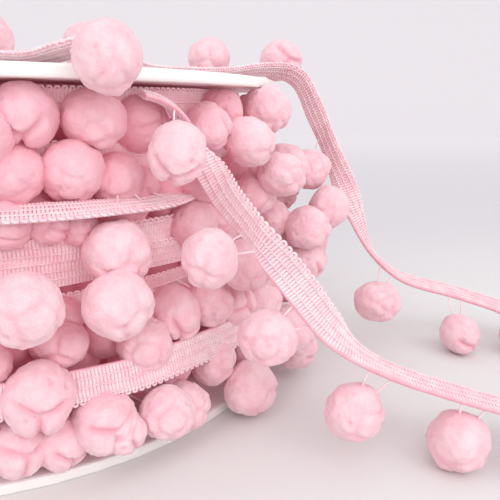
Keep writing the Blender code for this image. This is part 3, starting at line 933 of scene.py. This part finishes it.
def plastic_material():
    """Smooth moulded plastic with a faint unevenness in its gloss."""
    material, tree, shader = new_material("Reel_plastic")
    shader.inputs["Coat Weight"].default_value = 0.15
    place = object_place(tree)
    clouds = noise_node(tree, place, 25.0)
    grain = noise_node(tree, place, 900.0)
    tint = two_tones(tree, clouds, 0.3, 0.7, WARM_WHITE, WHITE)
    tree.links.new(tint, shader.inputs["Base Color"])
    gloss = node(tree, "ShaderNodeMapRange")
    gloss.inputs["To Min"].default_value = 0.28
    gloss.inputs["To Max"].default_value = 0.42
    tree.links.new(clouds, gloss.inputs["Value"])
    tree.links.new(gloss.outputs["Result"], shader.inputs["Roughness"])
    tree.links.new(bump(tree, grain, 0.05, 0.1 * MM), shader.inputs["Normal"])
    return material


def stage_material():
    """Paper, faintly warm on the near floor, greyer behind the reel as painted shade, and paler where it
    rises as painted light.
    """
    material, tree, shader = new_material("Paper")
    shader.inputs["Roughness"].default_value = 0.85
    shader.inputs["Specular IOR Level"].default_value = 0.1
    split = node(tree, "ShaderNodeSeparateXYZ")
    tree.links.new(object_place(tree), split.inputs[0])
    behind = split.outputs["Y"]
    floor = node(tree, "ShaderNodeRGB")
    floor.outputs[0].default_value = FLOOR
    # Painted shade: greyer behind the reel.
    shaded_far_floor = tinted(tree, ranged(tree, behind, 0.0, 0.2), floor.outputs[0], SHADED_FAR_FLOOR)
    # Painted light: paler where the paper rises into the wall.
    paper = tinted(tree, ranged(tree, behind, 0.1, 1.2), shaded_far_floor, LIT_BACKDROP)
    tree.links.new(paper, shader.inputs["Base Color"])
    return material


# ---------------------------------------------------------------- pieces


def tie_line(root, centre, across, away):
    """A tie from the braid into a pompom, bowed a little away from its straight line."""
    tip = centre + (root - centre).normalized() * across * 0.35
    middle = root.lerp(tip, 0.5) + away
    return [root.lerp(middle, t).lerp(middle.lerp(tip, t), t) for t in (0, 0.2, 0.4, 0.6, 0.8, 1)]


def build_loose_ties(run, material):
    """Two ties for each pompom of the loose run, from places a little apart on the braid's edge."""
    lines = []
    for along, x, y, z, across in LOOSE_POMPOMS:
        centre = Vector((x, y, z)) * MM
        for side in (-1, 1):
            root = run.place(along * MM + side * TIE_SPREAD, TIED_EDGE + 0.3 * MM)
            outward = (root.lerp(centre, 0.4) - run.place(along * MM, TIED_EDGE - 2 * MM)) * 0.2
            lines.append(tie_line(root, centre, across * MM, outward))
    return new_object("loose_ties", yarn_mesh(lines, TIE_RADIUS, 1), material)


def build_wound_ties(places, dice, material):
    """Two ties for each wound pompom, from the nearest lap of braid above or below it."""
    lines = []
    for centre, across in places:
        angle = math.atan2(centre.x, -centre.y)
        lap = min(BRAID_LAPS, key=lambda row: abs(row.height * MM - centre.z))
        for side in (-1, 1):
            root = on_winding(
                math.degrees(angle) + side * dice.uniform(1.5, 3.0),
                lap_out(lap, angle) * MM,
                (lap.height + lap.climb * math.sin(angle)) * MM,
            )
            away = Vector((centre.x, centre.y, 0)).normalized() * dice.uniform(0.5, 2.0) * MM
            lines.append(tie_line(root, centre, across, away)[::2] + [centre])
    return new_object("wound_ties", yarn_mesh(lines, TIE_RADIUS, 0), material)


def build_core(material):
    """The lumpy innermost laps: a tube, with its ends drawn in to the barrel."""
    shape = bmesh.new()
    low, high = WINDING_HEIGHTS
    bmesh.ops.create_cone(
        shape, cap_ends=False, segments=120, radius1=CORE_RADIUS, radius2=CORE_RADIUS,
        depth=high - low, matrix=Matrix.Translation((0, 0, (low + high) / 2)),
    )
    upright = [edge for edge in shape.edges if abs(edge.verts[0].co.z - edge.verts[1].co.z) > MM]
    bmesh.ops.subdivide_edges(shape, edges=upright, cuts=22, use_grid_fill=True)
    for vertex in shape.verts:
        spot = vertex.co * 160
        reach = 1.0 + 0.045 * noise.noise(spot) + 0.02 * noise.noise(spot * 2.3)
        vertex.co.x *= reach
        vertex.co.y *= reach
    rims = [edge for edge in shape.edges if edge.is_boundary]
    for vertex in new_vertices(bmesh.ops.extrude_edge_only(shape, edges=rims)):
        inward = Vector((vertex.co.x, vertex.co.y, 0)).normalized() * (BARREL_RADIUS + GAP)
        vertex.co.x, vertex.co.y = inward.x, inward.y
    bmesh.ops.recalc_face_normals(shape, faces=shape.faces)
    return finished("inner_laps", shape, material)


def build_stage():
    """Paper on the floor, which curves up into a wall behind."""
    shape = bmesh.new()
    bmesh.ops.create_grid(shape, x_segments=1, y_segments=1, size=FLOOR_REACH)
    back = [edge for edge in shape.edges if all(vertex.co.y > 0 for vertex in edge.verts)]
    wall = new_vertices(bmesh.ops.extrude_edge_only(shape, edges=back))
    bmesh.ops.translate(shape, vec=(0, 0, WALL_HEIGHT), verts=wall)
    bmesh.ops.bevel(
        shape, geom=back, offset=PAPER_BEND, segments=16, profile=0.5, affect="EDGES", material=-1
    )
    finished("Floor", shape, stage_material())


def add_light(name, place, aim, size, power):
    """A square light at a place, turned to face another."""
    data = bpy.data.lights.new(name, "AREA")
    data.size = size
    data.energy = power
    light = bpy.data.objects.new(name, data)
    place = Vector(place)
    turn = (place - Vector(aim)).to_track_quat("Z", "Y")
    light.matrix_world = Matrix.Translation(place) @ turn.to_matrix().to_4x4()
    bpy.context.scene.collection.objects.link(light)


def light_stage():
    """Even light from all round, a large soft light in front, and a smaller one on the right."""
    world = bpy.data.worlds.new("World")
    world.use_nodes = True
    sky = world.node_tree.nodes["Background"]
    sky.inputs["Color"].default_value = SKY
    sky.inputs["Strength"].default_value = SKY_STRENGTH
    bpy.context.scene.world = world
    bpy.context.scene.view_settings.view_transform = "Standard"
    add_light("Key", (-0.10, -0.85, 0.70), (0.03, -0.02, 0.04), 0.7, 2.4)
    add_light("Fill", (0.6, -0.6, 0.5), (0.14, -0.1, 0.0), 0.6, 2.0)


def build_loose_run(stitch, moulds, dice, pompom_yarn, braid_yarn):
    """The one free length: its braid, its pompoms and their ties."""
    run = loose_run()
    braid = finished("loose_braid_yarn", gathered([braid_mesh(stitch, run)]), braid_yarn)
    wear(braid, "braid_yarn", "loose_braid")
    places = [(Vector((x, y, z)) * MM, across * MM) for _, x, y, z, across in LOOSE_POMPOMS]
    pompoms = build_pompoms("loose_pompoms", places, moulds, dice, pompom_yarn, loose=True)
    wear(
        pompoms, "pompom_yarn",
        "fringe_from_reel", "fringe_on_floor", "fringe_rising", "fringe_on_flange",
    )
    ties = wear(build_loose_ties(run, braid_yarn), "braid_yarn")
    run.place(0.0)


def build_wound_pompoms(near_moulds, far_moulds, small_moulds, dice, pompom_yarn, braid_yarn):
    """The winding's pompoms, outer ones first, and the ties of the outer ones."""
    front, others = front_pompoms(), other_pompoms(random.Random(SEED)) + widest_pompoms()
    half = len(others) // 2
    for name, places, moulds in (
        ("wound_pompoms_front", front, near_moulds),
        ("wound_pompoms_right", others[:half], far_moulds),
        ("wound_pompoms_left", others[half:], far_moulds),
    ):
        piece = build_pompoms(name, places, moulds, dice, pompom_yarn)
        wear(piece, "pompom_yarn", "wound_trim")
    inner = build_pompoms("inner_pompoms", inner_pompoms(dice), small_moulds, dice, pompom_yarn)
    wear(inner, "pompom_yarn", "wound_trim")
    wear(build_wound_ties(front + others, dice, braid_yarn), "braid_yarn", "wound_trim")


def build_wound_braid(fine, plain, material):
    """The laps of braid in three pieces, with fine stitches only on the outer laps in front."""
    right_from, left_from = BRAID_PARTS_DEG
    for name, first, last, outer in (
        ("wound_braid_front", 0, right_from, fine),
        ("wound_braid_right", right_from, left_from, plain),
        ("wound_braid_left", left_from, 360, plain),
    ):
        laps = [
            braid_mesh(
                outer if lap.out > FINE_OUT else plain,
                wound_run(lap, math.radians(first), math.radians(last)),
            )
            for lap in BRAID_LAPS
        ]
        wear(finished(name, gathered(laps), material), "braid_yarn", "wound_trim")


def finish_reel():
    """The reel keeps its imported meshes, in white plastic."""
    plastic = plastic_material()
    for name in ("reel_bottom_flange", "reel_barrel", "reel_top_flange"):
        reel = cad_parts[name]
        reel.data.materials.clear()
        reel.data.materials.append(plastic)


def main():
    place_camera()
    pompom_yarn, braid_yarn = pompom_material(), braid_material()
    fine, plain = stitch_mesh(fine_yarns()), stitch_mesh(plain_yarns())
    dice = random.Random(SEED + 1)
    near_moulds = [pompom_mould(dice, 6, 0.16) for _ in range(MOULDS)]
    far_moulds = [pompom_mould(dice, 5, 0.21) for _ in range(MOULDS)]
    small_moulds = [pompom_mould(dice, 4, 0.2) for _ in range(SMALL_MOULDS)]
    build_loose_run(fine, near_moulds, dice, pompom_yarn, braid_yarn)
    build_wound_pompoms(near_moulds, far_moulds, small_moulds, dice, pompom_yarn, braid_yarn)
    build_wound_braid(fine, plain, braid_yarn)
    wear(build_core(pompom_yarn), "pompom_yarn", "wound_trim")
    finish_reel()
    build_stage()
    light_stage()


main()
